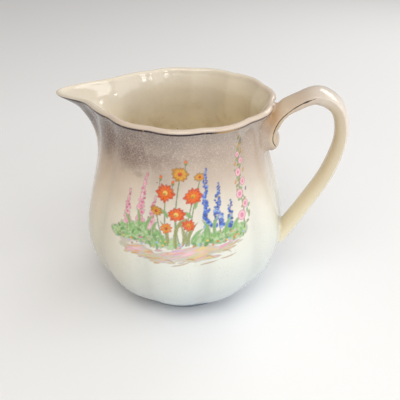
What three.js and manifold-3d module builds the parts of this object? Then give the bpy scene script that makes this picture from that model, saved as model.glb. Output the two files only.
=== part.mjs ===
// Milk jug: one hollow fired piece with a lobed belly, a drawn-out spout and a strap handle.
// Millimetres. +Z is up and the foot stands on Z = 0. The handle points to +X and the spout to -X.

import * as THREE from 'three';
import { mergeVertices } from 'three/addons/utils/BufferGeometryUtils.js';
import Module from 'manifold-3d';

// Driving dimensions of the body, measured from its own axis
const rimHeight = 111.6;
const rimRadius = 44;
const neckHeight = 101;
const neckRadius = 40.3;
const bellyHeight = 41;
const bellyRadius = 52.6;
const wall = 3.6;
const floorThickness = 4.8;

// Foot ring
const footRadius = 30;
const footTopRadius = 29;
const footHeight = 4.8;
const footRingWidth = 4;
const footChamfer = 0.5;
const footRecess = 4;

// Radius at which the belly's curve turns into the flat floor
const floorRadius = 24.8;

// Lobes round the body
const lobeCount = 11;
const lobeDepth = 1.5;
const lobeSoftness = 0.02;
const lobeMean = 0.64;
const lobeRise = 20;

// Spout, drawn out of the lobe that faces -X
const spoutReach = 26.6;
const spoutHalfAngle = 0.29;
const spoutDepth = 17.6;
const spoutDip = 3.6;

// The rim swells and rises a little towards the handle
const handleSwell = 1.6;
const handleRise = 0.9;

// Handle: the middle line of its strap in the XZ plane, from the rim over the crown to the belly
const strapLine = [
  [39.2, 103.0],
  [44.2, 106.6],
  [53.8, 113.2],
  [63.3, 117.1],
  [72.7, 112.4],
  [76.4, 99.9],
  [73.0, 80.3],
  [63.0, 57.8],
  [51.0, 35.0],
];
const strapHalfWidth = [8.2, 8.2, 8.0, 7.8, 6.8, 6.2, 6.0, 6.0, 6.6];
const strapHalfThickness = [4.6, 4.2, 3.6, 3.7, 3.5, 3.4, 3.6, 3.9, 4.3];

// Scroll under the upper end of the strap, lying against the neck
const scrollLine = [
  [45.8, 108.5],
  [43.4, 102.3],
  [42.4, 96.4],
  [43.6, 91.6],
  [43.0, 87.6],
  [42.6, 86.2],
];
const scrollHalfWidth = [6.8, 7.4, 7.2, 7.0, 5.2, 1.6];
const scrollHalfThickness = [3.4, 4.6, 4.0, 4.5, 2.8, 0.8];

// Fineness of the meshes
const stepsPerLobe = 8;
const sectionSides = 16;
const strapSteps = 28;
const scrollSteps = 12;
const lowerWallSteps = 7;
const upperWallSteps = 7;
const neckSteps = 3;
const lipSteps = 4;

const ease = (t) => {
  const clamped = THREE.MathUtils.clamp(t, 0, 1);
  return clamped * clamped * (3 - 2 * clamped);
};

// A quarter ellipse from the floor up to the belly, then one easy curve in to the neck and out to the rim
function wallRadius(height, inset) {
  if (height <= bellyHeight) {
    const rise = bellyHeight - footHeight - (inset > 0 ? floorThickness : 0);
    const part = THREE.MathUtils.clamp((bellyHeight - height) / rise, 0, 1);
    return floorRadius + (bellyRadius - inset - floorRadius) * Math.sqrt(1 - part * part);
  }
  if (height <= neckHeight) {
    const part = ease((height - bellyHeight) / (neckHeight - bellyHeight));
    return bellyRadius - inset + (neckRadius - bellyRadius) * part;
  }
  const flare = (height - neckHeight) / (rimHeight - neckHeight);
  return neckRadius - inset + (rimRadius - neckRadius) * flare * flare;
}

// How much of the spout shows at an angle: 1 on its middle line, falling off to both sides
function spoutShare(angle) {
  const away = Math.PI - Math.abs(angle);
  return (1 + (away / spoutHalfAngle) ** 2) ** -1.5;
}

// The same for the handle's side of the rim
function handleShare(angle) {
  return ((1 + Math.cos(angle)) / 2) ** 3;
}

// 0 at the neck and below, 1 at the rim
function rimShare(height) {
  return ease((height - neckHeight) / (rimHeight - neckHeight));
}

// Lobes, spout and swell move the wall outwards, its inside together with its outside
function outwardShift(angle, height) {
  const spout = spoutShare(angle) * Math.exp(-((Math.max(rimHeight - height, 0) / spoutDepth) ** 1.3));
  const lobe = Math.sqrt(Math.sin((lobeCount * angle) / 2) ** 2 + lobeSoftness) - lobeMean;
  const swell = handleSwell * handleShare(angle) * rimShare(height);
  return lobeDepth * ease(height / lobeRise) * lobe * (1 - spout) + spoutReach * spout + swell;
}

// The rim dips to the spout's lip and rises to the handle
function rimLift(angle, height) {
  return (handleRise * handleShare(angle) - spoutDip * spoutShare(angle)) * rimShare(height);
}

function outerRadius(angle, height) {
  return wallRadius(height, 0) + outwardShift(angle, height);
}

// The closed profile of the body: underside, foot, outer wall, rounded lip, inner wall, floor
function bodyProfile() {
  const points = [
    [0, footRecess],
    [footRadius - footRingWidth, footRecess],
    [footRadius - footRingWidth + footChamfer, 0],
    [footRadius - footChamfer, 0],
    [footRadius, footChamfer],
    [footTopRadius, footHeight],
  ];
  const lipRadius = wall / 2;
  const lipHeight = rimHeight - lipRadius;
  const floorHeight = footHeight + floorThickness;
  const bellyArc = (inset, low, step) => {
    const turn = (step / lowerWallSteps) * (Math.PI / 2);
    const height = bellyHeight - (bellyHeight - low) * Math.cos(turn);
    return [wallRadius(height, inset), height];
  };
  for (let i = 1; i <= lowerWallSteps; i++) points.push(bellyArc(0, footHeight, i));
  const upperHeights = [];
  for (let i = 1; i <= upperWallSteps; i++) {
    upperHeights.push(bellyHeight + ((neckHeight - bellyHeight) * i) / upperWallSteps);
  }
  for (let i = 1; i <= neckSteps; i++) {
    upperHeights.push(neckHeight + ((lipHeight - neckHeight) * i) / neckSteps);
  }
  for (const height of upperHeights) points.push([wallRadius(height, 0), height]);
  const lipMiddle = wallRadius(lipHeight, wall / 2);
  for (let i = 1; i < lipSteps; i++) {
    const turn = (i / lipSteps) * Math.PI;
    points.push([lipMiddle + lipRadius * Math.cos(turn), lipHeight + lipRadius * Math.sin(turn)]);
  }
  for (const height of upperHeights.reverse()) points.push([wallRadius(height, wall), height]);
  for (let i = lowerWallSteps; i >= 0; i--) points.push(bellyArc(wall, floorHeight, i));
  points.push([0, floorHeight]);
  return points.map(([radius, height]) => new THREE.Vector2(radius, height));
}

function makeBody() {
  const geometry = new THREE.LatheGeometry(bodyProfile(), lobeCount * stepsPerLobe);
  geometry.rotateX(Math.PI / 2);
  const position = geometry.attributes.position;
  const point = new THREE.Vector3();
  for (let i = 0; i < position.count; i++) {
    point.fromBufferAttribute(position, i);
    const angle = Math.atan2(point.y, point.x);
    const radius = Math.hypot(point.x, point.y);
    const shifted = radius + outwardShift(angle, point.z) * ease(radius / floorRadius);
    const height = point.z + rimLift(angle, point.z);
    position.setXYZ(i, shifted * Math.cos(angle), shifted * Math.sin(angle), height);
  }
  return geometry;
}

// A value that runs smoothly through the stations of a list
function along(values, t) {
  const line = new THREE.SplineCurve(values.map((value, i) => new THREE.Vector2(i, value)));
  return line.getPoint(t).y;
}

// A rounded strap: the rings of a unit cylinder are laid across a line in the XZ plane.
// Where it would enter the body, it stops at the middle of the wall.
function makeStrap(line, halfWidths, halfThicknesses, steps) {
  const curve = new THREE.CatmullRomCurve3(line.map(([x, z]) => new THREE.Vector3(x, 0, z)));
  const geometry = new THREE.CylinderGeometry(1, 1, 1, sectionSides, steps);
  const position = geometry.attributes.position;
  const ring = new THREE.Vector3();
  for (let i = 0; i < position.count; i++) {
    ring.fromBufferAttribute(position, i);
    const t = THREE.MathUtils.clamp(ring.y + 0.5, 0, 1);
    const middle = curve.getPoint(t);
    const forward = curve.getTangent(t);
    const across = new THREE.Vector3(-forward.z, 0, forward.x);
    const point = middle
      .addScaledVector(across, ring.x * along(halfThicknesses, t))
      .add(new THREE.Vector3(0, ring.z * along(halfWidths, t), 0));
    const angle = Math.atan2(point.y, point.x);
    const radius = Math.max(Math.hypot(point.x, point.y), outerRadius(angle, point.z) - wall / 2);
    position.setXYZ(i, radius * Math.cos(angle), radius * Math.sin(angle), point.z);
  }
  return geometry;
}

const wasm = await Module();
wasm.setup();

function toSolid(geometry) {
  geometry.deleteAttribute('normal');
  geometry.deleteAttribute('uv');
  const merged = mergeVertices(geometry, 1e-4);
  return new wasm.Manifold(
    new wasm.Mesh({
      numProp: 3,
      vertProperties: new Float32Array(merged.attributes.position.array),
      triVerts: new Uint32Array(merged.index.array),
    }),
  );
}

function toGeometry(solid) {
  const mesh = solid.getMesh();
  const geometry = new THREE.BufferGeometry();
  geometry.setAttribute('position', new THREE.BufferAttribute(mesh.vertProperties, 3));
  geometry.setIndex(new THREE.BufferAttribute(mesh.triVerts, 1));
  geometry.computeVertexNormals();
  return geometry;
}

const body = toSolid(makeBody());
const strap = toSolid(makeStrap(strapLine, strapHalfWidth, strapHalfThickness, strapSteps));
const scroll = toSolid(makeStrap(scrollLine, scrollHalfWidth, scrollHalfThickness, scrollSteps));

const glaze = new THREE.MeshStandardMaterial({ color: 0xe2dccb, roughness: 0.22, metalness: 0 });
const jug = new THREE.Mesh(toGeometry(body.add(strap).add(scroll)), glaze);
jug.name = 'jug';

// The origin lies under the middle of the jug's length, on the surface it stands on
jug.geometry.computeBoundingBox();
const { min, max } = jug.geometry.boundingBox;
jug.position.x = -(min.x + max.x) / 2;

const group = new THREE.Group();
group.add(jug);

export default group;
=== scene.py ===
# Milk jug: one glazed earthenware piece with a lobed belly, a drawn-out spout and a strap handle.
# Lengths in the dictionaries are millimetres, and mm turns them into Blender's metres.

import math

import bpy
import numpy as np
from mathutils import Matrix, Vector
from mathutils.bvhtree import BVHTree
from mathutils.kdtree import KDTree


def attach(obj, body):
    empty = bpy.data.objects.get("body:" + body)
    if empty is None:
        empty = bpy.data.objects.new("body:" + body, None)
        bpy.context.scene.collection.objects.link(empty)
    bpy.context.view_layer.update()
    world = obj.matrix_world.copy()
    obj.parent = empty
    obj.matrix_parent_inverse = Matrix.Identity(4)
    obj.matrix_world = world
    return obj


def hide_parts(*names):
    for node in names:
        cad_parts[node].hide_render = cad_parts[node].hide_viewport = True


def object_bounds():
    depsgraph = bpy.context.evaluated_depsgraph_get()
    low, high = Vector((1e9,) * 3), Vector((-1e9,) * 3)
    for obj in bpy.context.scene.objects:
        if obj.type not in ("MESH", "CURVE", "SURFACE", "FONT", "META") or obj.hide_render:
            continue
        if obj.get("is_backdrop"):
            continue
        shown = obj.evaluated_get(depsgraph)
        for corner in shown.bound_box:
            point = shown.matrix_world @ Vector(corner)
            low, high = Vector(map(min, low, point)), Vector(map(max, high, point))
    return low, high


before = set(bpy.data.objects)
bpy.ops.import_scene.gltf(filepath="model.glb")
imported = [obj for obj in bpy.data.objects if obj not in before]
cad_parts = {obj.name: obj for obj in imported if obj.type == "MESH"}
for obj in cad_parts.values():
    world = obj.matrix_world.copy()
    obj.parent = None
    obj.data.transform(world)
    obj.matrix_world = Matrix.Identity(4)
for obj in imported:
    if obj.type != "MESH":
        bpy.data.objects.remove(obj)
cadLow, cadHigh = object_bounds()
mm = 0.001
print("frame loaded")

# Camera: looks down on the jug from the front, a little round towards the handle

cameraForm = {
    "azimuth": 13.8,  # degrees
    "elevation": 30.6,
    "distance": 297.2,
    "targetHeight": 58.8,  # on the jug's own axis
    "focalPixels": 549.8,  # in the 400-pixel frame
    "centre": (184.8, 187.0),  # pixel on which the target lies
    "frameSize": 400,
    "sensor": 36,
    "nearest": 0.01,  # metres, nearer than anything shown
}

bodyForm = {
    "rimHeight": 111.6,
    "rimRadius": 44,
    "neckHeight": 101,
    "neckRadius": 40.3,
    "bellyHeight": 41,
    "bellyRadius": 52.6,
    "wall": 3.6,
    "floorThickness": 4.8,
    "floorRadius": 24.8,
    "footRadius": 30,
    "footTopRadius": 29,
    "footHeight": 4.8,
    "footRingWidth": 4,
    "footChamfer": 0.5,
    "footRecess": 4,
    "footRounding": 0.7,
    "bellyStart": 0.2244,  # radians along the belly's curve at which it leaves the foot
    "lobeCount": 11,
    "lobeDepth": 1.5,
    "lobeSoftness": 0.02,
    "lobeMean": 0.64,
    "lobeRise": 20,
    "spoutReach": 26.6,
    "spoutHalfAngle": 0.29,  # radians
    "spoutDepth": 17.6,
    "spoutDip": 3.6,
    "handleSwell": 1.6,
    "handleRise": 0.9,
}

# The mesh is a coarse net of columns and rows, with finer cells inside the windows below
bodyNet = {
    "columnsPerLobe": 18,
    "finer": 4,
    "bellySteps": 40,
    "wallSteps": 48,
    "flareSteps": 8,
    "lipSteps": 7,
    "insideFlareSteps": 6,
    "insideWallSteps": 26,
    "insideBellySteps": 18,
    "floorSteps": 5,
    "pole": 1.0,  # radius of the small hole that one vertex closes
}
fineWindows = [  # degrees round the axis, heights, cuts of each cell, and whether the inside is cut too
    {"angles": (-130.9, -32.7), "heights": (42, 106), "cuts": 4, "inside": False},
    {"angles": (-192, -168), "heights": (92, 120), "cuts": 2, "inside": True},
    {"angles": (-20, 20), "heights": (80, 113), "cuts": 2, "inside": False},
    {"angles": (-12.5, 12.5), "heights": (24, 50), "cuts": 2, "inside": False},
]


def ease(t):
    t = np.clip(t, 0, 1)
    return t * t * (3 - 2 * t)


def wallRadius(height, inset):
    form = bodyForm
    height = np.asarray(height, float)
    rise = form["bellyHeight"] - form["footHeight"] - (form["floorThickness"] if inset > 0 else 0)
    below = np.clip((form["bellyHeight"] - height) / rise, 0, 1)
    belly = form["bellyRadius"] - inset
    lower = form["floorRadius"] + (belly - form["floorRadius"]) * np.sqrt(1 - below**2)
    climb = (height - form["bellyHeight"]) / (form["neckHeight"] - form["bellyHeight"])
    middle = belly + (form["neckRadius"] - form["bellyRadius"]) * ease(climb)
    flare = np.maximum(height - form["neckHeight"], 0) / (form["rimHeight"] - form["neckHeight"])
    upper = form["neckRadius"] - inset + (form["rimRadius"] - form["neckRadius"]) * flare**2
    above = np.where(height <= form["neckHeight"], middle, upper)
    return np.where(height <= form["bellyHeight"], lower, above)


def spoutShare(angle):
    away = math.pi - np.abs(angle)
    return (1 + (away / bodyForm["spoutHalfAngle"]) ** 2) ** -1.5


def handleShare(angle):
    return ((1 + np.cos(angle)) / 2) ** 3


def rimShare(height):
    return ease((height - bodyForm["neckHeight"]) / (bodyForm["rimHeight"] - bodyForm["neckHeight"]))


def outwardShift(angle, height):
    form = bodyForm
    drop = np.maximum(form["rimHeight"] - height, 0) / form["spoutDepth"]
    spout = spoutShare(angle) * np.exp(-(drop**1.3))
    wave = np.sin(form["lobeCount"] * angle / 2)
    lobe = np.sqrt(wave**2 + form["lobeSoftness"]) - form["lobeMean"]
    swell = form["handleSwell"] * handleShare(angle) * rimShare(height)
    depth = form["lobeDepth"] * ease(height / form["lobeRise"])
    return depth * lobe * (1 - spout) + form["spoutReach"] * spout + swell


def rimLift(angle, height):
    lift = bodyForm["handleRise"] * handleShare(angle) - bodyForm["spoutDip"] * spoutShare(angle)
    return lift * rimShare(height)


def outerRadius(angle, height):
    return wallRadius(height, 0) + outwardShift(angle, height)


def roundedPath(corners, rounding, steps=4):
    # A line through the corners, each of them rounded by a short curve
    points = [corners[0]]
    for before, corner, after in zip(corners, corners[1:], corners[2:]):
        before, corner, after = (np.array(p, float) for p in (before, corner, after))
        start = corner + (before - corner) * rounding / np.linalg.norm(before - corner)
        end = corner + (after - corner) * rounding / np.linalg.norm(after - corner)
        for t in np.linspace(0, 1, steps):
            points.append((1 - t) ** 2 * start + 2 * t * (1 - t) * corner + t * t * end)
    points.append(corners[-1])
    return np.array(points, float)


def profileRows():
    # Radius and height of every fine row, from the underside round the lip to the floor inside
    form, net = bodyForm, bodyNet
    lipRadius = form["wall"] / 2
    lipHeight = form["rimHeight"] - lipRadius
    floorHeight = form["footHeight"] + form["floorThickness"]
    ringInside = form["footRadius"] - form["footRingWidth"]
    turnStart = form["bellyStart"]

    def bellyCurve(inset, low, turn):
        height = form["bellyHeight"] - (form["bellyHeight"] - low) * math.cos(turn)
        return float(wallRadius(height, inset)), height

    foot = roundedPath(
        [
            (net["pole"], form["footRecess"]),
            (ringInside, form["footRecess"]),
            (ringInside + form["footChamfer"], 0),
            (form["footRadius"], 0),
            (form["footTopRadius"], form["footHeight"]),
            bellyCurve(0, form["footHeight"], turnStart),
        ],
        form["footRounding"],
    )
    rows = []

    def add(steps, shape):
        count = steps * net["finer"]
        rows.extend(shape(k / count) for k in range(count))

    def wallLine(start, end, inset):
        def point(t):
            height = start + (end - start) * t
            return float(wallRadius(height, inset)), height

        return point

    def footLine(t):
        place = t * (len(foot) - 1)
        k = min(int(place), len(foot) - 2)
        return tuple(foot[k] + (foot[k + 1] - foot[k]) * (place - k))

    def lipLine(t):
        middle = float(wallRadius(lipHeight, lipRadius))
        turn = t * math.pi
        return middle + lipRadius * math.cos(turn), lipHeight + lipRadius * math.sin(turn)

    def outerBelly(t):
        return bellyCurve(0, form["footHeight"], turnStart + (math.pi / 2 - turnStart) * t)

    def innerBelly(t):
        return bellyCurve(form["wall"], floorHeight, math.pi / 2 * (1 - t))

    def floorLine(t):
        return form["floorRadius"] + (net["pole"] - form["floorRadius"]) * t, floorHeight

    add(len(foot) - 1, footLine)
    add(net["bellySteps"], outerBelly)
    add(net["wallSteps"], wallLine(form["bellyHeight"], form["neckHeight"], 0))
    add(net["flareSteps"], wallLine(form["neckHeight"], lipHeight, 0))
    add(net["lipSteps"], lipLine)
    insideStart = len(rows) - net["lipSteps"] * net["finer"] // 2
    add(net["insideFlareSteps"], wallLine(lipHeight, form["neckHeight"], form["wall"]))
    add(net["insideWallSteps"], wallLine(form["neckHeight"], form["bellyHeight"], form["wall"]))
    add(net["insideBellySteps"], innerBelly)
    add(net["floorSteps"], floorLine)
    rows.append(floorLine(1))
    return np.array(rows), insideStart


def bodyPoint(angle, radius, height):
    shifted = radius + outwardShift(angle, height) * ease(radius / bodyForm["floorRadius"])
    lifted = height + rimLift(angle, height)
    return np.stack([shifted * np.cos(angle), shifted * np.sin(angle), lifted], axis=-1)


def makeBodyMesh():
    net = bodyNet
    finer = net["finer"]
    rows, insideStart = profileRows()
    columns = bodyForm["lobeCount"] * net["columnsPerLobe"]
    rowCells = (len(rows) - 1) // finer

    def cutsOf(column, row):
        degrees = 360 * (column + 0.5) / columns
        height = rows[row * finer + 1][1]
        for window in fineWindows:
            low, high = window["angles"]
            around = (degrees - low) % 360 <= high - low
            if around and window["heights"][0] <= height <= window["heights"][1]:
                if window["inside"] or row * finer < insideStart:
                    return window["cuts"]
        return 1

    cuts = np.array([[cutsOf(column, row) for row in range(rowCells)] for column in range(columns)])

    keys, faces = {}, []

    def vertex(i, j):
        return keys.setdefault((i % (columns * finer), j), len(keys))

    def edgePath(i, j, stepI, stepJ, count):
        stride = finer // count
        return [vertex(i + stepI * stride * k, j + stepJ * stride * k) for k in range(count)]

    for column in range(columns):
        for row in range(rowCells):
            i, j = column * finer, row * finer
            if cuts[column, row] > 1:
                stride = finer // cuts[column, row]
                for a in range(i, i + finer, stride):
                    for b in range(j, j + finer, stride):
                        corners = [(a, b), (a + stride, b), (a + stride, b + stride), (a, b + stride)]
                        faces.append([vertex(*corner) for corner in corners])
                continue
            below = cuts[column, max(row - 1, 0)]
            above = cuts[column, min(row + 1, rowCells - 1)]
            right, left = cuts[(column + 1) % columns, row], cuts[column - 1, row]
            face = edgePath(i, j, 1, 0, below)
            face += edgePath(i + finer, j, 0, 1, right)
            face += edgePath(i + finer, j + finer, -1, 0, above)
            face += edgePath(i, j + finer, 0, -1, left)
            faces.append(face)

    index = np.array(list(keys))
    angle = 2 * math.pi * index[:, 0] / (columns * finer)
    angle = np.where(angle > math.pi, angle - 2 * math.pi, angle)
    points = bodyPoint(angle, rows[index[:, 1], 0], rows[index[:, 1], 1])
    last = rowCells * finer
    for j, turn in ((0, -1), (last, 1)):
        ring = [vertex(column * finer, j) for column in range(columns)]
        centre = len(points)
        points = np.vstack([points, [0, 0, rows[j][1]]])
        for k in range(columns):
            pair = [ring[k], ring[(k + 1) % columns]]
            faces.append([*pair[::turn], centre])
    return points, faces


# Handle: a strap with an arris along both edges, and a scroll under its upper end

handleForm = {
    # Distance from the axis, height, half width, half thickness, and the arris's height as a share of that
    "strap": [
        (39.2, 103.0, 7.8, 4.6, -0.9),
        (44.2, 106.6, 7.8, 4.2, -0.85),
        (53.8, 113.2, 7.7, 3.6, -0.2),
        (63.3, 117.1, 7.5, 3.7, 0.45),
        (72.7, 112.4, 6.7, 3.5, 0.6),
        (76.4, 99.9, 6.2, 3.4, 0.6),
        (73.0, 80.3, 6.0, 3.6, 0.55),
        (63.0, 57.8, 6.0, 3.9, 0.5),
        (51.0, 35.0, 6.6, 4.3, 0.4),
    ],
    "scroll": [
        (53.2, 112.6, 6.9, 2.6, 0.3),
        (49.6, 109.6, 7.4, 3.3, 0.5),
        (46.4, 106.2, 7.5, 3.8, 0.6),
        (43.9, 101.8, 7.3, 4.2, 0.62),
        (42.4, 96.4, 6.8, 4.0, 0.66),
        (43.5, 91.6, 6.3, 4.5, 0.7),
        (43.2, 88.6, 4.7, 2.9, 0.6),
        (42.6, 87.3, 1.6, 0.8, 0.4),
    ],
    "crown": 1.4,  # powers that shape the outer and the inner face between the arrises
    "fullness": 0.62,
    "knuckle": (0.405, 0.016, 0.55),  # where on the strap, how long as a share of it, and how proud
    "strapSteps": 170,
    "scrollSteps": 44,
    "sides": 40,
    "filletReach": [  # height, and how far from the handle the wall begins to swell towards it
        (84, 0.5), (89, 3.0), (94, 4.4), (100, 4.4), (105, 2.8), (108, 1.2), (110, 0.4),
    ],
    "filletPower": 2.2,
    "filletHalfAngle": 0.5,  # radians
    "scrollBlend": (6.0, 24),  # reach and rounds of smoothing where strap and scroll meet
    "wallBlend": (4.6, 45),  # the same where they meet the wall
    "smoothing": 0.6,  # share of the way that a point moves in each round
}


def splineAt(points, t, centripetal):
    # A smooth line through the points, by index from 0 to 1
    points = np.array(points, float).reshape(len(points), -1)
    place = t * (len(points) - 1)
    k = min(int(place), len(points) - 2)
    weight = place - k
    p1, p2 = points[k], points[k + 1]
    if centripetal:
        p0 = points[k - 1] if k > 0 else 2 * points[0] - points[1]
        p3 = points[k + 2] if k + 2 < len(points) else 2 * points[-1] - points[-2]
        gap0, gap1, gap2 = (math.sqrt(np.linalg.norm(b - a)) for a, b in ((p0, p1), (p1, p2), (p2, p3)))
        slope1 = ((p1 - p0) / gap0 - (p2 - p0) / (gap0 + gap1) + (p2 - p1) / gap1) * gap1
        slope2 = ((p2 - p1) / gap1 - (p3 - p1) / (gap1 + gap2) + (p3 - p2) / gap2) * gap1
    else:
        slope1 = (p2 - points[max(k - 1, 0)]) / 2
        slope2 = (points[min(k + 2, len(points) - 1)] - p1) / 2
    square, cube = weight**2, weight**3
    return (
        (2 * cube - 3 * square + 1) * p1
        + (cube - 2 * square + weight) * slope1
        + (3 * square - 2 * cube) * p2
        + (cube - square) * slope2
    )


def makeStrapMesh(stations, steps, knuckle=(0, 1, 0)):
    line, section = np.array(stations)[:, :2], np.array(stations)[:, 2:]
    sides = handleForm["sides"]
    turn = np.arange(sides) * 2 * math.pi / sides
    cosine, sine = np.cos(turn), np.sin(turn)
    points = []
    for step in range(steps + 1):
        t = step / steps
        halfWidth, halfThickness, arris = splineAt(section, t, False)
        outer = arris + (1 - arris) * np.abs(cosine) ** handleForm["crown"]
        inner = arris - (1 + arris) * np.abs(cosine) ** handleForm["fullness"]
        across = np.where(cosine >= 0, outer, inner)
        across = (np.roll(across, 1) + 4 * across + np.roll(across, -1)) / 6
        middle = splineAt(line, t, True)
        nudge = 1e-4
        ahead, behind = splineAt(line, min(t + nudge, 1), True), splineAt(line, max(t - nudge, 0), True)
        forward = (ahead - behind) / np.linalg.norm(ahead - behind)
        thickness = halfThickness * across
        proud = knuckle[2] * math.exp(-(((t - knuckle[0]) / knuckle[1]) ** 2))
        ring = np.zeros((sides, 3))
        ring[:, 0] = middle[0] - forward[1] * thickness
        ring[:, 1] = (halfWidth + proud) * sine
        ring[:, 2] = middle[1] + forward[0] * thickness
        points.append(ring)
    points = np.concatenate(points)
    angle = np.arctan2(points[:, 1], points[:, 0])
    radius = np.hypot(points[:, 0], points[:, 1])
    radius = np.maximum(radius, outerRadius(angle, points[:, 2]) - bodyForm["wall"] / 2)
    points[:, 0], points[:, 1] = radius * np.cos(angle), radius * np.sin(angle)
    faces = []
    for step in range(steps):
        for k in range(sides):
            a, b = step * sides + k, step * sides + (k + 1) % sides
            faces.append([b, a, a + sides, b + sides])
    faces.append([*range(sides)])
    faces.append([*range(steps * sides, (steps + 1) * sides)][::-1])
    return points, faces


def meshObject(name, points, faces):
    mesh = bpy.data.meshes.new(name)
    mesh.from_pydata([tuple(p) for p in points * mm], [], faces)
    mesh.validate()
    piece = bpy.data.objects.new(name, mesh)
    bpy.context.scene.collection.objects.link(piece)
    return piece


def surfaceOf(piece):
    piece.data.calc_loop_triangles()
    corners = [v.co / mm for v in piece.data.vertices]
    return BVHTree.FromPolygons(corners, [t.vertices[:] for t in piece.data.loop_triangles])


def distancesTo(surface, points):
    most = 50  # all that lies further away counts as this far
    found = (surface.find_nearest(Vector(p), most) for p in points)
    return np.array([most if hit[3] is None else hit[3] for hit in found])


def softenSeam(piece, first, second, reach, rounds):
    # Rounds the corner along which two united surfaces meet, as thick glaze does
    points = readPoints(piece)
    touch = 0.02  # a point this near a surface lies on it
    nearest, side = 25, 20  # no seam lies nearer the axis, or further from the middle plane
    near = np.flatnonzero((points[:, 0] > nearest) & (np.abs(points[:, 1]) < side))
    toFirst = distancesTo(first, points[near])
    toSecond = distancesTo(second, points[near])
    seam = near[(toFirst < touch) & (toSecond < touch)]
    seamTree = KDTree(len(seam))
    for k in seam:
        seamTree.insert(Vector(points[k]), int(k))
    seamTree.balance()
    weight = np.zeros(len(points))
    weight[near] = [ease(1 - seamTree.find(Vector(points[k]))[2] / reach) for k in near]
    edges = np.empty(len(piece.data.edges) * 2, int)
    piece.data.edges.foreach_get("vertices", edges)
    edges = edges.reshape(-1, 2)
    edges = edges[(weight[edges] > 0).any(axis=1)]
    ends = np.concatenate([edges[:, 0], edges[:, 1]])
    others = np.concatenate([edges[:, 1], edges[:, 0]])
    degree = np.maximum(np.bincount(ends, minlength=len(points)), 1)[:, None]
    for _ in range(rounds):
        total = np.stack([np.bincount(ends, points[others, k], len(points)) for k in range(3)], axis=1)
        points = points + (total / degree - points) * handleForm["smoothing"] * weight[:, None]
    writePoints(piece, points)


def swellRoot(piece, surface):
    # Lifts the wall towards the handle's root, so that the flanks rise out of it in a hollow curve
    points = readPoints(piece)
    angle = np.arctan2(points[:, 1], points[:, 0])
    radius = np.hypot(points[:, 0], points[:, 1])
    heights, reaches = zip(*handleForm["filletReach"])
    reach = np.interp(points[:, 2], heights, reaches)
    skin = 0.3  # only the wall's outer face swells
    outer = radius > outerRadius(angle, points[:, 2]) - skin
    level = (points[:, 2] > heights[0]) & (points[:, 2] < heights[-1])
    near = np.flatnonzero(outer & level & (np.abs(angle) < handleForm["filletHalfAngle"]))
    away = distancesTo(surface, points[near])
    lift = reach[near] * np.clip(1 - away / reach[near], 0, 1) ** handleForm["filletPower"]
    points[near, :2] *= (1 + lift / radius[near])[:, None]
    writePoints(piece, points)


def unite(piece, other, blend):
    first, second = surfaceOf(piece), surfaceOf(other)
    modifier = piece.modifiers.new("union", "BOOLEAN")
    modifier.operation = "UNION"
    modifier.solver = "MANIFOLD"
    modifier.object = other
    evaluated = piece.evaluated_get(bpy.context.evaluated_depsgraph_get())
    joined = bpy.data.meshes.new_from_object(evaluated)
    piece.modifiers.clear()
    piece.data = joined
    bpy.data.objects.remove(other)
    softenSeam(piece, first, second, *blend)


def readPoints(piece):
    co = np.empty(len(piece.data.vertices) * 3)
    piece.data.vertices.foreach_get("co", co)
    return co.reshape(-1, 3) / mm


def writePoints(piece, points):
    piece.data.vertices.foreach_set("co", (points * mm).ravel())
    piece.data.update()


bodyPoints, bodyFaces = makeBodyMesh()
jug = meshObject("glazedJug", bodyPoints, bodyFaces)
print("body", len(bodyPoints), "vertices")
strapMesh = makeStrapMesh(handleForm["strap"], handleForm["strapSteps"], handleForm["knuckle"])
strap = meshObject("strap", *strapMesh)
scroll = meshObject("scroll", *makeStrapMesh(handleForm["scroll"], handleForm["scrollSteps"]))
unite(strap, scroll, handleForm["scrollBlend"])
handleSurface = surfaceOf(strap)
swellRoot(jug, handleSurface)
unite(jug, strap, handleForm["wallBlend"])
jug.data.calc_loop_triangles()
print("jug", len(jug.data.vertices), "vertices", len(jug.data.loop_triangles), "triangles")

# Where each point lies on the jug, for the glaze's colours

giltForm = {
    "rimWidth": 0.92,
    "rimPlace": -0.1,  # along the lip from its outermost line
    "handleWidth": 0.42,
    "handleLine": [
        (63.6, 118.4),
        (60.4, 117.0),
        (56.4, 114.7),
        (52.2, 111.0),
        (48.2, 106.5),
        (46.1, 102.0),
        (45.1, 97.2),
        (45.4, 93.7),
        (46.9, 91.2),
    ],
    "flank": 2.5,  # the line runs only where the surface is at least this far from the middle plane
    "dash": (0.17, 0.035, 0.5),  # place along the line, length as a share of it, and added width
}


def placesOn(points):
    angle = np.arctan2(points[:, 1], points[:, 0])
    radius = np.hypot(points[:, 0], points[:, 1])
    height = points[:, 2].copy()
    for _ in range(6):
        height = points[:, 2] - rimLift(angle, height)
    lipRadius = bodyForm["wall"] / 2
    lipHeight = bodyForm["rimHeight"] - lipRadius
    plain = radius - outwardShift(angle, height) * ease(radius / bodyForm["floorRadius"])
    out = plain - wallRadius(np.minimum(height, lipHeight), lipRadius)
    over = height - lipHeight
    underside = height < bodyForm["footHeight"] + bodyForm["floorThickness"] - 1
    arc = np.where((out > 0) | underside, over, math.pi * lipRadius - over)
    arc = np.where(over > 0, lipRadius * np.arctan2(over, out), arc)
    return angle, height, arc, radius - outerRadius(angle, height)


def lineTree(line):
    tree = KDTree(len(line))
    for k, (x, z) in enumerate(line):
        tree.insert((x, 0, z), k)
    tree.balance()
    return tree


def sampled(points, samples=400):
    line = np.array([splineAt(points, t, True) for t in np.linspace(0, 1, samples)])
    forward = np.gradient(line, axis=0)
    return line, forward / np.linalg.norm(forward, axis=1)[:, None], lineTree(line)


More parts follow.
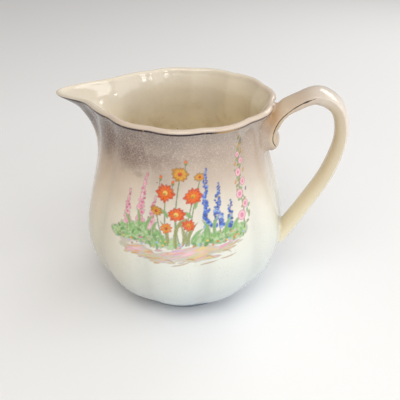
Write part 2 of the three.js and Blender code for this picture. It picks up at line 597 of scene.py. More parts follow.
def nearOn(track, x, z):
    # Share along the track, and the signed distance to its left
    line, forward, tree = track
    _, station, distance = tree.find((x, 0, z))
    offset = np.array([x, z]) - line[station]
    turned = forward[station][0] * offset[1] - forward[station][1] * offset[0]
    return station / (len(line) - 1), math.copysign(distance, turned)


def handlePlaces(points, gap):
    stations = np.array(handleForm["strap"])
    strapTrack, giltTrack = sampled(stations[:, :2]), sampled(giltForm["handleLine"])
    names = ("onHandle", "strapShare", "strapSide", "giltOff", "giltShare")
    places = {name: np.zeros(len(points)) for name in names}
    nearest, side, proud = 36, 13, 0.05  # a point on the handle is past, within and past these
    near = np.flatnonzero((points[:, 0] > nearest) & (np.abs(points[:, 1]) < side) & (gap > proud))
    dashPlace, dashLength, dashWidth = giltForm["dash"]
    for k, away in zip(near, distancesTo(handleSurface, points[near])):
        x, y, z = points[k]
        share, off = nearOn(strapTrack, x, z)
        places["onHandle"][k] = float(ease(gap[k] / 1.6)) * float(ease(2 - away))
        places["strapShare"][k] = share
        places["strapSide"][k] = off / splineAt(stations[:, 3:4], share, False)[0]
        run, off = nearOn(giltTrack, x, z)
        width = giltForm["handleWidth"] + dashWidth * math.exp(-(((run - dashPlace) / dashLength) ** 2))
        places["giltOff"][k] = off / width
        onFlank = float(ease((abs(y) - giltForm["flank"]) / 0.8))
        places["giltShare"][k] = onFlank * float(ease(run / 0.1) * ease((1 - run) / 0.03))
    return places


def setFloats(piece, name, values):
    attribute = piece.data.attributes.new(name, "FLOAT", "POINT")
    attribute.data.foreach_set("value", np.asarray(values, np.float32))


points = readPoints(jug)
angle, height, lipArc, gap = placesOn(points)
places = handlePlaces(points, gap)
onHandle = places["onHandle"]
for name, values in places.items():
    setFloats(jug, name, values)
isHandle = onHandle > 0.02
offLip = -50  # a place so far down the wall that nothing of the lip's glaze shows
setFloats(jug, "lipArc", np.where(isHandle, offLip, lipArc))
# Lobe valleys, a mask for the painted shade in them
valley = 1 - np.abs(np.sin(bodyForm["lobeCount"] * angle / 2))
setFloats(jug, "valley", ease(valley * 1.6 - 0.5) * ease(gap + 1))
print("places noted")

# Painted spray of garden flowers on the front: u is millimetres across from its middle, v the height

paintForm = {
    "centre": -76.2,  # degrees round the axis
    "radius": 51,  # of the wall there, which turns degrees into millimetres
    "reach": (-42, 44),
    "heights": (40, 107),
    "belowLip": 3,  # bare band under the rim
    "seed": 23,
}
inks = {
    "line": "#6A4634",
    "stem": "#8A6B3E",
    "leafLight": "#B2CE98",
    "leaf": "#86B46C",
    "leafDeep": "#5F9150",
    "olive": "#9C9A56",
    "orange": "#E86C16",
    "orangeDeep": "#D04412",
    "gold": "#DDA12B",
    "goldLight": "#EFC65E",
    "goldDeep": "#B67A1E",
    "blue": "#3F6CCB",
    "blueLight": "#8DB3EE",
    "blueDeep": "#31509E",
    "violet": "#7C76A8",
    "pink": "#E59FB4",
    "pinkLight": "#EDC4CB",
    "rose": "#CC6088",
    "lilac": "#D6A8CC",
    "ochre": "#E2A03C",
    "ochreLight": "#EAC27C",
    "sand": "#D8CE86",
}
groundForm = {
    "washes": 34,
    "washInks": ("pinkLight", "sand", "lilac", "pinkLight", "ochreLight"),
    "strokes": 90,
    "strokeInks": ("pink", "pinkLight", "lilac", "ochreLight", "ochre", "leafLight", "sand"),
    "lines": [(-19, 48.4, 9), (-6, 46.6, 10), (7, 46.4, 9), (17, 48.8, 8), (-30, 52.4, 10), (21, 54.6, 7)],
    "marks": [(1, 50.0), (10, 50.6), (-9, 49.4), (18, 52.6)],
}
bloomTones = {  # edge, fill and heart
    "marigold": ("orangeDeep", "orange", "goldLight"),
    "sunny": ("goldDeep", "gold", "orangeDeep"),
    "ember": ("orangeDeep", "orange", "gold"),
    "amber": ("orange", "gold", "orangeDeep"),
}
sprayForm = {
    "greens": ("leafDeep", "leaf", "leafLight"),
    "pinks": ("rose", "pink", "pinkLight"),
    "blues": ("blueDeep", "blue", "blueLight"),
    "mounds": [  # u, v, width and height
        (-35, 58.0, 9, 5), (-30, 59.6, 11, 8), (-23, 60.8, 12, 10), (-15, 58.6, 12, 7), (-7, 57.6, 9, 4),
        (8, 59.0, 10, 6), (16, 59.4, 11, 6), (24, 61.0, 11, 8), (29, 60.4, 8, 6),
    ],
    "pinkSpires": [  # foot, top and half width
        ((-29, 60), (-30.5, 80), 1.9), ((-23, 61), (-21, 89), 1.9), ((-17, 60), (-15, 79), 1.9),
    ],
    "pinkLeaves": [  # u, v, length and lean
        (-28, 62, 8, 125), (-20, 62, 9, 62), (-24, 63, 9, 100), (-16, 61, 7, 70),
    ],
    "stems": [  # foot and top
        ((-8, 57), (-10.2, 79)), ((-4, 56), (-2.8, 88)), ((0.5, 57), (4.2, 78)), ((-2, 56), (-4.6, 70)),
        ((2, 57), (8.2, 86)), ((-9, 57), (-14.4, 71)),
    ],
    "blades": [  # u, v, length and lean
        (-8, 57, 12, 112), (-4, 56, 14, 80), (1, 57, 12, 62), (-10, 58, 9, 135), (3, 58, 9, 44),
        (-1, 57, 10, 96), (-3, 66, 6, 38), (-8.6, 70, 5, 140), (3, 70, 5, 150), (5.4, 74, 5, 60),
    ],
    "blooms": [  # u, v, size, number of petals, tones, and height as a share of the width
        (-2.6, 90.0, 8.8, 12, "sunny", 0.75), (-10.4, 81.0, 9.6, 12, "marigold", 0.85),
        (4.4, 79.6, 9.4, 11, "ember", 0.8), (8.4, 88.0, 5.8, 9, "sunny", 0.6),
        (-14.8, 72.2, 6.4, 9, "sunny", 0.7), (-4.4, 71.6, 8.6, 11, "marigold", 0.7),
        (1.8, 66.6, 6.6, 9, "ember", 0.8), (-9.0, 65.0, 6.0, 9, "amber", 0.75),
    ],
    "buds": [(-6.4, 86.0, 70), (0.6, 95.4, 100), (-13.4, 87.6, 80)],  # u, v and lean
    "blueSpires": [((13, 59), (12.4, 92), 2.2), ((18, 60), (19, 85), 2.6), ((23, 61), (25, 76), 2.0)],
    "blueLeaves": [(12, 60, 9, 112), (15, 60, 10, 80), (20, 61, 9, 60), (24, 62, 8, 40), (10, 60, 7, 70)],
    "climber": [(31, 61), (32.5, 70), (31.2, 80), (33.5, 90), (32.3, 99), (33.8, 104)],
    "climberLeaves": 34,
    "roses": [  # u, v and size
        (30.5, 67, 5.2), (34.0, 71.5, 4.2), (31.0, 77, 4.8), (34.4, 82, 4.0), (31.6, 87, 4.2),
        (34.4, 92, 3.4), (31.8, 95.6, 3.0),
    ],
    "smallBuds": [(36.2, 78), (29.2, 83), (36.0, 87), (29.8, 91.4), (34.6, 97), (32.4, 99.6), (34.4, 102)],
    "dots": 46,
    "dotInks": ("goldLight", "pink", "blueLight", "orange", "rose"),
}


def linear(tone):
    # A linear colour from a tone written as in a paint program
    parts = [int(tone[k : k + 2], 16) / 255 for k in (1, 3, 5)]
    return tuple(((c + 0.055) / 1.055) ** 2.4 if c > 0.04045 else c / 12.92 for c in parts)


def openCanvas(angle, height, plain):
    turn = np.degrees(angle) - paintForm["centre"]
    across = np.radians((turn + 180) % 360 - 180) * paintForm["radius"]
    low, high = paintForm["reach"]
    bottom, top = paintForm["heights"]
    chosen = np.flatnonzero(plain & (across > low) & (across < high) & (height > bottom) & (height < top))
    return {
        "chosen": chosen,
        "u": across[chosen],
        "v": height[chosen],
        "colour": np.zeros((len(chosen), 3)),
        "cover": np.zeros(len(chosen)),
    }


def lay(canvas, index, mask, ink, strength=1.0):
    # Lays ink over what is there
    mask = mask * strength
    canvas["colour"][index] += (np.array(linear(inks[ink])) - canvas["colour"][index]) * mask[:, None]
    canvas["cover"][index] += (1 - canvas["cover"][index]) * mask


def within(canvas, low, high, margin):
    u, v = canvas["u"], canvas["v"]
    inU = (u > low[0] - margin) & (u < high[0] + margin)
    return np.flatnonzero(inU & (v > low[1] - margin) & (v < high[1] + margin))


def brush(canvas, path, width, ink, strength=1.0, soft=0.35, taper=(0.3, 0.1)):
    # One stroke along a path; taper is its width at both ends as a share
    path = np.array(path, float)
    index = within(canvas, path.min(0), path.max(0), width + soft)
    if not len(index):
        return
    spot = np.stack([canvas["u"][index], canvas["v"][index]], axis=1)
    lengths = np.linalg.norm(np.diff(path, axis=0), axis=1)
    run = np.concatenate([[0], np.cumsum(lengths)]) / max(lengths.sum(), 1e-6)
    best = np.full(len(index), -9.0)
    for start, end, a, b in zip(path, path[1:], run, run[1:]):
        line = end - start
        t = np.clip(((spot - start) @ line) / max(line @ line, 1e-9), 0, 1)
        away = np.linalg.norm(spot - start - t[:, None] * line, axis=1)
        place = a + (b - a) * t
        swell = np.minimum(taper[0] + place * 4, 1) * np.minimum(taper[1] + (1 - place) * 2.5, 1)
        best = np.maximum(best, width / 2 * swell - away)
    lay(canvas, index, ease(best / soft + 0.5), ink, strength)


def dab(canvas, u, v, size, ink, lean=0.0, strength=1.0, soft=0.35):
    # An oval touch of the brush; lean is in degrees
    index = within(canvas, (u, v), (u, v), max(size) / 2 + soft)
    if not len(index):
        return
    c, s = math.cos(math.radians(lean)), math.sin(math.radians(lean))
    du, dv = canvas["u"][index] - u, canvas["v"][index] - v
    a, b = (du * c + dv * s) / (size[0] / 2), (dv * c - du * s) / (size[1] / 2)
    away = (1 - np.hypot(a, b)) * min(size) / 2
    lay(canvas, index, ease(away / soft + 0.5), ink, strength)


def bow(start, end, bend, steps=6):
    # A bent line between two points
    start, end = np.array(start, float), np.array(end, float)
    side = np.array([start[1] - end[1], end[0] - start[0]]) * bend
    return [start + (end - start) * t + side * 4 * t * (1 - t) for t in np.linspace(0, 1, steps)]


def around(u, v, degrees, reach, squash=1.0):
    # A place round u, v on a circle that squash makes an oval
    turn = math.radians(degrees)
    return u + math.cos(turn) * reach, v + math.sin(turn) * reach * squash


def leaf(canvas, u, v, length, lean, width, ink, vein=None):
    tip = around(u, v, lean, length)
    path = bow((u, v), tip, 0.12 if tip[0] > u else -0.12)
    brush(canvas, path, width, ink, 0.9, taper=(0.35, 0.05))
    if vein:
        brush(canvas, path[:5], 0.4, vein, 0.55, soft=0.3)


def daisy(canvas, u, v, size, petals, tones, random, squash):
    # Two rings of uneven petals round a dotted heart
    edge, fill, heart = tones
    first = random.uniform(0, 360)
    for reach, width, ink, strength in ((0.5, 0.26, edge, 0.95), (0.38, 0.13, fill, 0.9)):
        for k in range(petals):
            lean = first + 360 * k / petals + random.uniform(-7, 7)
            root = around(u, v, lean, size * 0.08, squash)
            tip = around(u, v, lean, reach * size * random.uniform(0.82, 1.1), squash)
            wide = width * size * random.uniform(0.8, 1.15)
            brush(canvas, [root, tip], wide, ink, strength, 0.4, (0.2, 0.45))
    for k in range(petals):
        tip = around(u, v, first + 360 * (k + 0.5) / petals, size * 0.3, squash)
        brush(canvas, [(u, v), tip], 0.35, "line", 0.35, 0.3)
    dab(canvas, u, v, (size * 0.27, size * 0.22), heart)
    dab(canvas, u - size * 0.03, v - size * 0.05, (size * 0.16, size * 0.09), "line", 0, 0.65)


def rosette(canvas, u, v, size, tones, random):
    # A full round bloom of curved touches
    deep, middle, light = tones
    dab(canvas, u, v, (size, size * 0.9), middle)
    for k in range(7):
        turn = k * 360 / 7 + random.uniform(-15, 15)
        spot = around(u, v, turn, size * 0.3, 0.9)
        dab(canvas, *spot, (size * 0.34, size * 0.16), light, turn + 90, 0.8)
    for k in range(4):
        turn = k * 90 + random.uniform(0, 60)
        spot = around(u, v, turn, size * 0.14, 0.93)
        dab(canvas, *spot, (size * 0.24, size * 0.1), deep, turn + 80, 0.85)


def spire(canvas, foot, top, width, tones, random):
    # A flower spire: touches that shrink towards its tip, along its own stem
    deep, middle, light = tones
    path = bow(foot, top, 0.05, 12)
    brush(canvas, path, 0.55, "stem", 0.8)
    count = int((top[1] - foot[1]) * 2.6)
    for k in range(count):
        t = 0.18 + 0.82 * k / count
        middleU = path[min(int(t * 11), 11)][0]
        spread = width * (1 - t) ** 0.7 + 0.25
        u = middleU + random.uniform(-1, 1) * spread
        v = foot[1] + (top[1] - foot[1]) * t + random.uniform(-0.4, 0.4)
        size = 0.75 + 1.25 * (1 - t)
        ink = (deep, middle, middle, middle, light)[random.integers(5)]
        dab(canvas, u, v, (size * 1.15, size * 0.85), ink, random.uniform(-60, 60), 0.92)


def mound(canvas, u, v, size, tones, random):
    # A soft mound of foliage in three greens
    deep, middle, light = tones
    dab(canvas, u, v, size, light, 0, 0.75, soft=1.4)
    for _ in range(int(size[0] * size[1] * 0.7)):
        turn, away = random.uniform(0, 360), random.uniform(0, 1) ** 0.6
        spot = around(u, v, turn, away * size[0] * 0.5, size[1] / size[0])
        shade = 0.5 - (spot[1] - v) / size[1]
        ink = deep if random.uniform() < shade * 0.5 else (middle, light)[int(random.uniform() < 0.35)]
        touch = random.uniform(0.9, 1.9)
        dab(canvas, *spot, (touch * 1.5, touch * 0.8), ink, random.uniform(10, 170), 0.8)


def paintGround(canvas, random):
    # Loose slanting strokes of earth: a pale wash first, then finer strokes and a few thin lines
    def earth(u):
        return 50.8 + 0.11 * u + 0.004 * u * u

    for _ in range(groundForm["washes"]):
        u = random.uniform(-34, 16)
        v = earth(u) + random.uniform(-2.2, 3.6)
        length = random.uniform(9, 16) * (1 - abs(u + 8) / 60)
        ink = groundForm["washInks"][random.integers(5)]
        end = (u + length, v + length * random.uniform(0.06, 0.16))
        brush(canvas, bow((u, v), end, 0.03), random.uniform(1.6, 2.8), ink, 0.42, 1.3)
    for _ in range(groundForm["strokes"]):
        u = random.uniform(-34, 26)
        v = earth(u) + random.uniform(-5.0, 4.4) * (1 - abs(u) / 52)
        length = random.uniform(3, 9) * (1 - abs(u) / 50)
        ink = groundForm["strokeInks"][random.integers(7)]
        end = (u + length, v + length * random.uniform(0.04, 0.2))
        brush(canvas, bow((u, v), end, 0.05), random.uniform(0.5, 1.1), ink, random.uniform(0.5, 0.85), 0.5)
    for u, v, length in groundForm["lines"]:
        end = (u + length, v + length * random.uniform(0.1, 0.3))
        brush(canvas, bow((u, v), end, -0.04, 9), 0.6, "ochre", 0.7)
    for u, v in groundForm["marks"]:
        brush(canvas, bow((u, v), (u + 4.4, v - 1.6), 0.18), 0.42, "goldDeep", 0.75)


def paintClimber(canvas, random):
    form = sprayForm
    brush(canvas, form["climber"], 0.6, "line", 0.75, taper=(1, 0.4))
    last = form["climberLeaves"] - 1
    for k in range(form["climberLeaves"]):
        t = k / last
        u = 32 + 1.4 * math.sin(9 * t) + random.uniform(-2.6, 2.6)
        length, lean = random.uniform(1.8, 3), random.uniform(-30, 210)
        leaf(canvas, u, 62 + 41 * t, length, lean, 1.2, ("leaf", "olive")[k % 2])
    for u, v, size in form["roses"]:
        rosette(canvas, u, v, size, form["pinks"], random)
    for u, v in form["smallBuds"]:
        dab(canvas, u, v, (1.9, 1.3), ("violet", "ochre")[int(v) % 2], 60, 0.9)


def paintSpray(canvas, random):
    form = sprayForm
    paintGround(canvas, random)
    for u, v, width, tall in form["mounds"]:
        mound(canvas, u, v, (width, tall), form["greens"], random)
    for foot, top, width in form["pinkSpires"]:
        spire(canvas, foot, top, width, form["pinks"], random)
    for placed in form["pinkLeaves"]:
        leaf(canvas, *placed, 1.6, "leaf", "leafDeep")
    for foot, top in form["stems"]:
        brush(canvas, bow(foot, top, 0.04), 0.6, "leafDeep", 0.85, taper=(1, 0.8))
    for u, v, length, lean in form["blades"]:
        leaf(canvas, u, v, length, lean, 1.7, ("olive", "leaf")[length % 2], "leafDeep")
    for u, v, size, petals, tones, squash in form["blooms"]:
        daisy(canvas, u, v, size, petals, bloomTones[tones], random, squash)
    for u, v, lean in form["buds"]:
        brush(canvas, bow((u, v - 5), (u, v), 0.08), 0.4, "leafDeep", 0.8)
        dab(canvas, u, v, (2.6, 1.6), "orange", lean)
        dab(canvas, u, v - 0.8, (1.4, 1.3), "leafDeep", lean, 0.9)
    for foot, top, width in form["blueSpires"]:
        spire(canvas, foot, top, width, form["blues"], random)
    for placed in form["blueLeaves"]:
        leaf(canvas, *placed, 1.6, "leaf", "leafDeep")
    paintClimber(canvas, random)
    for k in range(form["dots"]):
        u = random.uniform(-37, 31)
        v = 57 + 0.05 * u + random.uniform(-1.5, 3.2)
        size = random.uniform(0.7, 1.3)
        dab(canvas, u, v, (size, size * 0.8), form["dotInks"][k % 5], 0, 0.9)


canvas = openCanvas(angle, height, ~isHandle & (lipArc < -paintForm["belowLip"]))
paintSpray(canvas, np.random.default_rng(paintForm["seed"]))
paint = np.zeros((len(points), 4), np.float32)
paint[canvas["chosen"], :3] = canvas["colour"]
paint[canvas["chosen"], 3] = canvas["cover"]
paintAttribute = jug.data.attributes.new("paint", "FLOAT_COLOR", "POINT")
paintAttribute.data.foreach_set("color", paint.ravel())
print("spray painted on", len(canvas["chosen"]), "points")

# The jug's own axis lies where the frame's box puts the tip of the spout
axisX = cadLow.x / mm - points[:, 0].min()
points[:, 0] += axisX
writePoints(jug, points)
for polygon in jug.data.polygons:
    polygon.use_smooth = True
print("axis at", axisX)

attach(jug, "root")
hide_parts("jug")

# Glaze: cream inside, brown glaze round the neck that fades to ivory below, worn gilt lines, with painted
# shade, painted highlights and painted glints added where light falls

glazeForm = {
    # The lowest stops, bluish and darker towards the foot below about 28 mm, are painted shade under the
    # belly; the ivory and the brown above them are the glaze's own colours
    "outside": [  # height and colour
        (1, "#8492A0"),
        (7, "#A6B3BE"),
        (16, "#C6D0D3"),
        (28, "#D8DFDC"),
        (46, "#E5E8DF"),
        (64, "#E8E5D9"),
        (74, "#DFD6C7"),
        (83, "#CFC0B0"),
        (92, "#BDAB9B"),
        (101, "#B3A294"),
        (110, "#A99B90"),
    ],
    # The cream grows lighter and more golden deeper down, painted light for the glow inside the hollow
    "inside": [
        (10, "#F8ECCE"),
        (50, "#F8EBCC"),
        (74, "#F2E3C2"),
        (90, "#E1D5BC"),
        (108, "#D9CFBD"),
    ],
    "handle": [  # share along the strap and colour
        (0.0, "#D2C0A8"),
        (0.14, "#D4BFA3"),
        (0.3, "#D2BFAB"),
        (0.4, "#D8CCBE"),
        (0.52, "#CFC1AB"),
        (0.75, "#E0D4B8"),
        (1.0, "#F0E7C9"),
    ],
    "lip": "#D9C7B4",
    "lipBack": "#E6DCC9",
    "spoutSideShade": "#62575A",
    "underSpoutShade": "#3A3236",
    "smudge": "#75605A",
    "stipple": "#DFD0C0",
    "stain": "#C2A877",
    "crazing": "#A08A70",
    "joint": "#C2996C",
    "flankShade": "#D3C19C",
    "faceHighlight": "#EFE5DB",
    "valleyShade": "#BDC0BC",
    "leftShadeTint": "#F4EADD",
    # The gilt's dark tone is a painted reflection of a dark room, and its gold is painted where it glints
    "giltDarkReflection": "#3B3136",
    "gilt": "#B8935A",
    "speck": "#5A4A44",
    "top": 116,  # height at which the ramps end
    "brownHeights": (72, 98),
    "spoutSideShadeStrength": (0.6, 0.95),
    "underSpoutShadeStrength": 0.45,
    "stippleStrength": (0.2, 0.4),  # over the painted shade by the spout and elsewhere
    "valleyShadeStrength": 0.2,
    "crazingScale": 0.62,  # cells a millimetre
    "crackWidth": (0.075, 0.01),
    "paleCracks": 0.26,
    "darkCracks": (0.03, 0.14),
    "stainStrength": 0.4,
    "lipStrength": 0.85,
    "jointPlace": (42.6, 106),  # distance from the axis, and height
    "jointReach": (7.5, 0.5),
    "speckScale": 0.085,
    "speckRadius": (0.034, 0.016),
    "rimGlintPlace": (25, -31, 110),  # where a painted gold glint lies on the rim's gilt
    "rimGlintReach": (8, 4),
    "roughness": (0.08, 0.17),
    "giltRoughness": 0.3,
    "giltMetal": 0.75,
    "refraction": 1.52,
    "relief": 0.5,  # depth of the glaze's ripples
    "reliefStrength": 0.35,
}
smudges = [  # degrees round the axis, height, width and height of the smudge, strength
    (-112, 95, 14, 6, 0.55),
    (-130, 99, 15, 7, 0.5),
    (-88, 96, 9, 3, 0.22),
    (-60, 97, 12, 3, 0.12),
    (-105.5, 87, 3.2, 2.2, 0.35),
    (152, 96, 16, 6, 0.5),
    (96, 94, 17, 5, 0.35),
    (38, 97, 13, 4, 0.3),
]

glaze = bpy.data.materials.new("crazedGlaze")
glaze.use_nodes = True
openTree = glaze.node_tree  # the functions below add their nodes here
shader = openTree.nodes["Principled BSDF"]


def addNode(kind, inputs=None, **settings):
    made = openTree.nodes.new(kind)
    for name, value in settings.items():
        setattr(made, name, value)
    for socket, value in (inputs or {}).items():
        if isinstance(value, bpy.types.NodeSocket):
            openTree.links.new(value, made.inputs[socket])
        else:
            made.inputs[socket].default_value = value
    return made


def calc(operation, first, second=0.0, third=0.0):
    return addNode("ShaderNodeMath", {0: first, 1: second, 2: third}, operation=operation).outputs[0]


def times(first, second):
    return calc("MULTIPLY", first, second)


def fade(value, low, high, start=0.0, end=1.0):
    # Runs smoothly from start to end while value goes from low to high
    values = {"Value": value, "From Min": low, "From Max": high, "To Min": start, "To Max": end}
    return addNode("ShaderNodeMapRange", values, interpolation_type="SMOOTHSTEP").outputs[0]


def colour(tone):
    return (*linear(tone), 1)


def mixColour(factor, first, second, blend="MIX"):
    # A name of one of the glaze's tones may stand for the second colour
    if isinstance(second, str):
        second = colour(glazeForm[second])
    values = {0: factor, 6: first, 7: second}
    return addNode("ShaderNodeMix", values, data_type="RGBA", blend_type=blend, clamp_factor=True).outputs[2]


def rampThrough(value, stops, low, high):
    share = addNode("ShaderNodeMapRange", {"Value": value, "From Min": low, "From Max": high}).outputs[0]
    ramp = addNode("ShaderNodeValToRGB", {0: share})
    elements = ramp.color_ramp.elements
    while len(elements) < len(stops):
        elements.new(0.5)
    for element, (place, tone) in zip(elements, stops):
        element.position = (place - low) / (high - low)
        element.color = colour(tone)
    return ramp.outputs[0]


def vectorMath(operation, first, second):
    return addNode("ShaderNodeVectorMath", {0: first, 1: second}, operation=operation).outputs[0]


def lengthBetween(first, second):
    values = {0: first, 1: second}
    return addNode("ShaderNodeVectorMath", values, operation="DISTANCE").outputs["Value"]


def attribute(name, output="Fac"):
    return addNode("ShaderNodeAttribute", attribute_name=name).outputs[output]


def noise(place, scale, detail=2.0, roughness=0.5, offset=0.0):
    values = {"Vector": place, "W": offset, "Scale": scale, "Detail": detail, "Roughness": roughness}
    return addNode("ShaderNodeTexNoise", values, noise_dimensions="4D").outputs[0]


place = vectorMath("MULTIPLY", addNode("ShaderNodeTexCoord").outputs["Object"], (1 / mm, 1 / mm, 1 / mm))
place = vectorMath("ADD", place, (-axisX, 0, 0))  # millimetres from the jug's own axis
x, y, z = addNode("ShaderNodeSeparateXYZ", {0: place}).outputs[:3]

broad = noise(place, 0.035, 3, 0.55)
mottle = noise(place, 0.12, 4, 0.6, 3)
grain = noise(place, 1.5, 3, 0.65, 5)
fine = noise(place, 4.0, 2, 0.5, 8)

# Outside, coloured by height, with painted shade added towards the foot, by the spout, in the lobes' valleys
# and on the left side
drift = calc("MULTIPLY_ADD", broad, 14, -7)
drift = calc("MULTIPLY_ADD", mottle, 7, calc("ADD", drift, -3.5))
level = calc("ADD", z, drift)
outside = rampThrough(level, glazeForm["outside"], 0, glazeForm["top"])
brown = fade(level, *glazeForm["brownHeights"])
# Painted shade over the upper band, growing towards the spout's side
spoutSideShade = times(fade(x, 34, -42), fade(level, 78, 105))
spoutSideShade = times(spoutSideShade, fade(mottle, 0.25, 0.7, *glazeForm["spoutSideShadeStrength"]))
outside = mixColour(spoutSideShade, outside, "spoutSideShade")
# Painted shade right under the spout, at the far left near the top
underSpoutShade = times(fade(x, -26, -48), fade(z, 84, 97, 0, glazeForm["underSpoutShadeStrength"]))
outside = mixColour(underSpoutShade, outside, "underSpoutShade")
for turn, high, width, tall, strength in smudges:
    across = float(wallRadius(high, 0))
    spot = (math.cos(math.radians(turn)) * across, math.sin(math.radians(turn)) * across, high)
    shrunk = vectorMath("MULTIPLY", vectorMath("SUBTRACT", place, spot), (1 / width, 1 / width, 1 / tall))
    ragged = calc("ADD", lengthBetween(shrunk, (0, 0, 0)), calc("MULTIPLY_ADD", mottle, -1.6, 0.8))
    outside = mixColour(fade(ragged, 1.25, 0.2, 0, strength), outside, "smudge")
stipple = times(fade(grain, 0.52, 0.68), times(brown, fade(x, -46, 0, *glazeForm["stippleStrength"])))
outside = mixColour(stipple, outside, "stipple")
# Painted shade in the lobes' valleys, stronger low on the belly
valleyShade = times(attribute("valley"), fade(z, 96, 60, 0, glazeForm["valleyShadeStrength"]))
outside = mixColour(valleyShade, outside, "valleyShade")
# Painted shade: the left side made darker and warmer
outside = mixColour(fade(x, 8, -40), outside, "leftShadeTint", "MULTIPLY")

# Fine crazing: pale over the brown, faintly dark over the ivory
bent = times(noise(place, 0.4, 2, 0.5, 1), 1.6)
bent = vectorMath("ADD", place, bent)
values = {"Vector": bent, "Scale": glazeForm["crazingScale"]}
cracks = addNode("ShaderNodeTexVoronoi", values, feature="DISTANCE_TO_EDGE").outputs["Distance"]
crackle = fade(cracks, *glazeForm["crackWidth"])
outside = mixColour(times(crackle, times(brown, glazeForm["paleCracks"])), outside, "stipple")
faint = times(crackle, fade(mottle, 0.4, 0.7, *glazeForm["darkCracks"]))

# Inside: pale at the mouth and stained deeper down; the cream is also made lighter and more golden deeper
# down and towards the handle's side, painted light for the glow that bounces round the hollow
depth = calc("ADD", z, calc("MULTIPLY_ADD", broad, 40, -20))
# Tilts the change so that the painted golden glow reaches higher on the handle's side
depth = calc("ADD", depth, calc("MULTIPLY_ADD", x, -0.28, -4))
inner = rampThrough(depth, glazeForm["inside"], 0, glazeForm["top"])
stain = times(fade(mottle, 0.45, 0.7), fade(z, 104, 76, 0, glazeForm["stainStrength"]))
inner = mixColour(stain, inner, "stain")
lipArc = attribute("lipArc")
body = mixColour(fade(lipArc, 1.0, 3.4), outside, inner)

# Lip, and the tan tone at the handle's upper joint
lipBand = times(fade(lipArc, 0.2, 1.0), fade(lipArc, 6.4, 3.8))
lipTone = mixColour(fade(calc("MULTIPLY_ADD", y, -1, x), -30, 25), colour(glazeForm["lipBack"]), "lip")
body = mixColour(times(lipBand, glazeForm["lipStrength"]), body, lipTone)
flattened = 0.62  # makes the joint's tone reach further up and down than sideways
out, high = glazeForm["jointPlace"]
jointOff = lengthBetween(vectorMath("MULTIPLY", place, (1, 0, flattened)), (out, 0, flattened * high))
joint = times(fade(jointOff, *glazeForm["jointReach"], 0, 0.9), fade(lipArc, 0.5, -1.5))
joint = times(joint, fade(calc("ABSOLUTE", y), 12, 7))
body = mixColour(times(joint, fade(lipArc, -6, -2, 0.55, 0)), body, "joint")

# Handle: tan along the strap; on the lower arm, painted shade on the flank that faces the hole and a painted
# highlight on the paler outer face
strapShare, strapSide = attribute("strapShare"), attribute("strapSide")
along = calc("ADD", strapShare, calc("MULTIPLY_ADD", broad, 0.1, -0.05))
handle = rampThrough(along, glazeForm["handle"], 0, 1)
arm = fade(strapShare, 0.4, 0.5)
# Painted shade on the flank towards the hole, then a painted highlight on the outer face
handle = mixColour(times(arm, fade(strapSide, 0.5, -0.6, 0, 0.6)), handle, "flankShade")
handle = mixColour(times(arm, fade(strapSide, 0.45, 0.75, 0, 0.7)), handle, "faceHighlight")
handle = mixColour(joint, handle, "joint")
rootFlank = times(fade(attribute("giltOff"), -1, -6), fade(z, 108, 101))
rootFlank = times(rootFlank, fade(z, 80, 86))
handle = mixColour(rootFlank, handle, body)
surface = mixColour(attribute("onHandle"), body, handle)
surface = mixColour(faint, surface, "crazing")

# The painted spray, a little uneven with wear
paintCover = times(fade(grain, 0.3, 0.55, 0.8, 0.98), attribute("paint", "Alpha"))
surface = mixColour(paintCover, surface, attribute("paint", "Color"))

# Small dark specks
cells = addNode("ShaderNodeTexVoronoi", {"Vector": place, "Scale": glazeForm["speckScale"]})
chance = addNode("ShaderNodeSeparateColor", {0: cells.outputs["Color"]}).outputs[0]
speck = fade(cells.outputs["Distance"], *glazeForm["speckRadius"])
speck = times(speck, fade(chance, 0.6, 0.62, 0, 0.8))
surface = mixColour(speck, surface, "speck")

# Worn gilt on the rim and along the handle's edge, painted dark for the dark room it reflects, with painted
# gold glints
giltWearAndGlints = noise(place, 0.22, 4, 0.65, 13)
ragged = calc("MULTIPLY_ADD", fine, 0.3, -0.15)
rimOff = calc("ABSOLUTE", calc("ADD", calc("SUBTRACT", lipArc, giltForm["rimPlace"]), ragged))
rimGilt = fade(rimOff, giltForm["rimWidth"] * 0.62, giltForm["rimWidth"] * 0.36)
rimGilt = times(rimGilt, fade(giltWearAndGlints, 0.3, 0.42, 0.45, 1))
rimGilt = times(rimGilt, fade(x, 22, 34, 1, 0.65))
handleOff = calc("ABSOLUTE", calc("ADD", attribute("giltOff"), ragged))
handleGilt = times(fade(handleOff, 0.65, 0.3), attribute("giltShare"))
handleGilt = times(handleGilt, fade(giltWearAndGlints, 0.3, 0.46, 0.45, 0.95))
gilt = calc("MAXIMUM", rimGilt, handleGilt)
# Painted gold glints: one on the rim's front right, and small spots along the lines
rimGlint = fade(lengthBetween(place, glazeForm["rimGlintPlace"]), *glazeForm["rimGlintReach"])
paintedGlint = calc("MAXIMUM", fade(giltWearAndGlints, 0.6, 0.68), rimGlint)
surface = mixColour(gilt, surface, mixColour(paintedGlint, colour(glazeForm["giltDarkReflection"]), "gilt"))

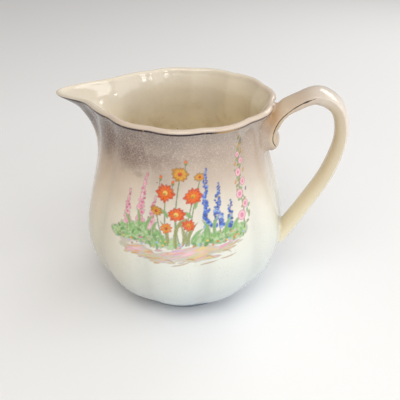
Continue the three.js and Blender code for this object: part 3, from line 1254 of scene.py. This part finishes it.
# Gloss and relief
polish = fade(mottle, 0.3, 0.7, *glazeForm["roughness"])
polish = calc("MAXIMUM", polish, times(gilt, glazeForm["giltRoughness"]))
relief = calc("MULTIPLY_ADD", mottle, 0.5, times(grain, 0.035))
relief = calc("SUBTRACT", relief, times(crackle, 0.02))
relief = calc("SUBTRACT", relief, times(speck, 0.1))
values = {"Strength": glazeForm["reliefStrength"], "Distance": glazeForm["relief"] * mm, "Height": relief}
bump = addNode("ShaderNodeBump", values).outputs[0]
metal = times(gilt, glazeForm["giltMetal"])
finish = {"Base Color": surface, "Metallic": metal, "Roughness": polish, "Normal": bump}
for socket, value in finish.items():
    openTree.links.new(value, shader.inputs[socket])
shader.inputs["IOR"].default_value = glazeForm["refraction"]
jug.data.materials.clear()
jug.data.materials.append(glaze)
print("glaze made")

# Floor, light and camera

studioForm = {
    "floorReach": 4,  # metres from the middle to each edge
    "paper": (0.9, 0.9, 0.9, 1),
    "paperRoughness": 0.9,
    "roomLeft": (0.34, 0.3, 0.26, 1),
    "roomRight": (0.5, 0.51, 0.52, 1),
    "roomTurn": (-0.8, 0.7),  # the room's tone changes between these, sideways
    "lights": [  # name, azimuth, elevation, distance and size in metres, watts, tint
        ("front", 6, 52, 0.9, (0.6, 0.45), 3.9, (1, 0.99, 0.97)),
        ("key", 84, 34, 1.0, (0.8, 0.8), 2.7, (1, 1, 1)),
        ("window", 50, 34, 0.9, (0.12, 0.1), 0.4, (1, 1, 1)),
        ("fill", -60, 25, 1.1, (0.8, 0.8), 0.3, (1, 0.93, 0.85)),
        ("back", 150, 32, 0.9, (0.5, 0.25), 1.5, (1, 1, 1)),
    ],
}

edge = studioForm["floorReach"]
floorMesh = bpy.data.meshes.new("floor")
corners = [(-edge, -edge, 0), (edge, -edge, 0), (edge, edge, 0), (-edge, edge, 0)]
floorMesh.from_pydata(corners, [], [(0, 1, 2, 3)])
floor = bpy.data.objects.new("floor", floorMesh)
bpy.context.scene.collection.objects.link(floor)
paper = bpy.data.materials.new("paper")
paper.use_nodes = True
paperShader = paper.node_tree.nodes["Principled BSDF"]
paperShader.inputs["Base Color"].default_value = studioForm["paper"]
paperShader.inputs["Roughness"].default_value = studioForm["paperRoughness"]
floorMesh.materials.append(paper)
floor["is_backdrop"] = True

world = bpy.data.worlds.new("studio")
bpy.context.scene.world = world
world.use_nodes = True
openTree = world.node_tree  # the room's nodes are added here from now on
generated = addNode("ShaderNodeTexCoord").outputs["Generated"]
sideways = addNode("ShaderNodeSeparateXYZ", {0: generated}).outputs[0]
roomShare = fade(sideways, *studioForm["roomTurn"])
roomLight = mixColour(roomShare, studioForm["roomLeft"], studioForm["roomRight"])
openTree.links.new(roomLight, openTree.nodes["Background"].inputs["Color"])

target = Vector((axisX * mm, 0, cameraForm["targetHeight"] * mm))


def direction(azimuth, elevation):
    a, e = math.radians(azimuth), math.radians(elevation)
    return Vector((math.sin(a) * math.cos(e), -math.cos(a) * math.cos(e), math.sin(e)))


def aim(piece, azimuth, elevation, distance):
    # Puts a lamp or the camera at a distance from the target, looking at it
    back = direction(azimuth, elevation)
    piece.location = target + back * distance
    piece.rotation_mode = "QUATERNION"
    piece.rotation_quaternion = back.to_track_quat("Z", "Y")
    bpy.context.scene.collection.objects.link(piece)


for name, azimuth, elevation, distance, spread, watts, tint in studioForm["lights"]:
    light = bpy.data.lights.new(name, "AREA")
    light.shape = "RECTANGLE"
    light.size, light.size_y = spread
    light.energy = watts
    light.color = tint
    aim(bpy.data.objects.new(name, light), azimuth, elevation, distance)

camera = bpy.data.objects.new("camera", bpy.data.cameras.new("camera"))
aim(camera, cameraForm["azimuth"], cameraForm["elevation"], cameraForm["distance"] * mm)
bpy.context.scene.camera = camera
frameSize, centre = cameraForm["frameSize"], cameraForm["centre"]
camera.data.sensor_width = cameraForm["sensor"]
camera.data.lens = cameraForm["focalPixels"] / frameSize * cameraForm["sensor"]
camera.data.shift_x = (frameSize / 2 - centre[0]) / frameSize
camera.data.shift_y = (centre[1] - frameSize / 2) / frameSize
camera.data.clip_start = cameraForm["nearest"]
bpy.context.scene.view_settings.view_transform = "Standard"
print("stage set")

low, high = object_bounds()
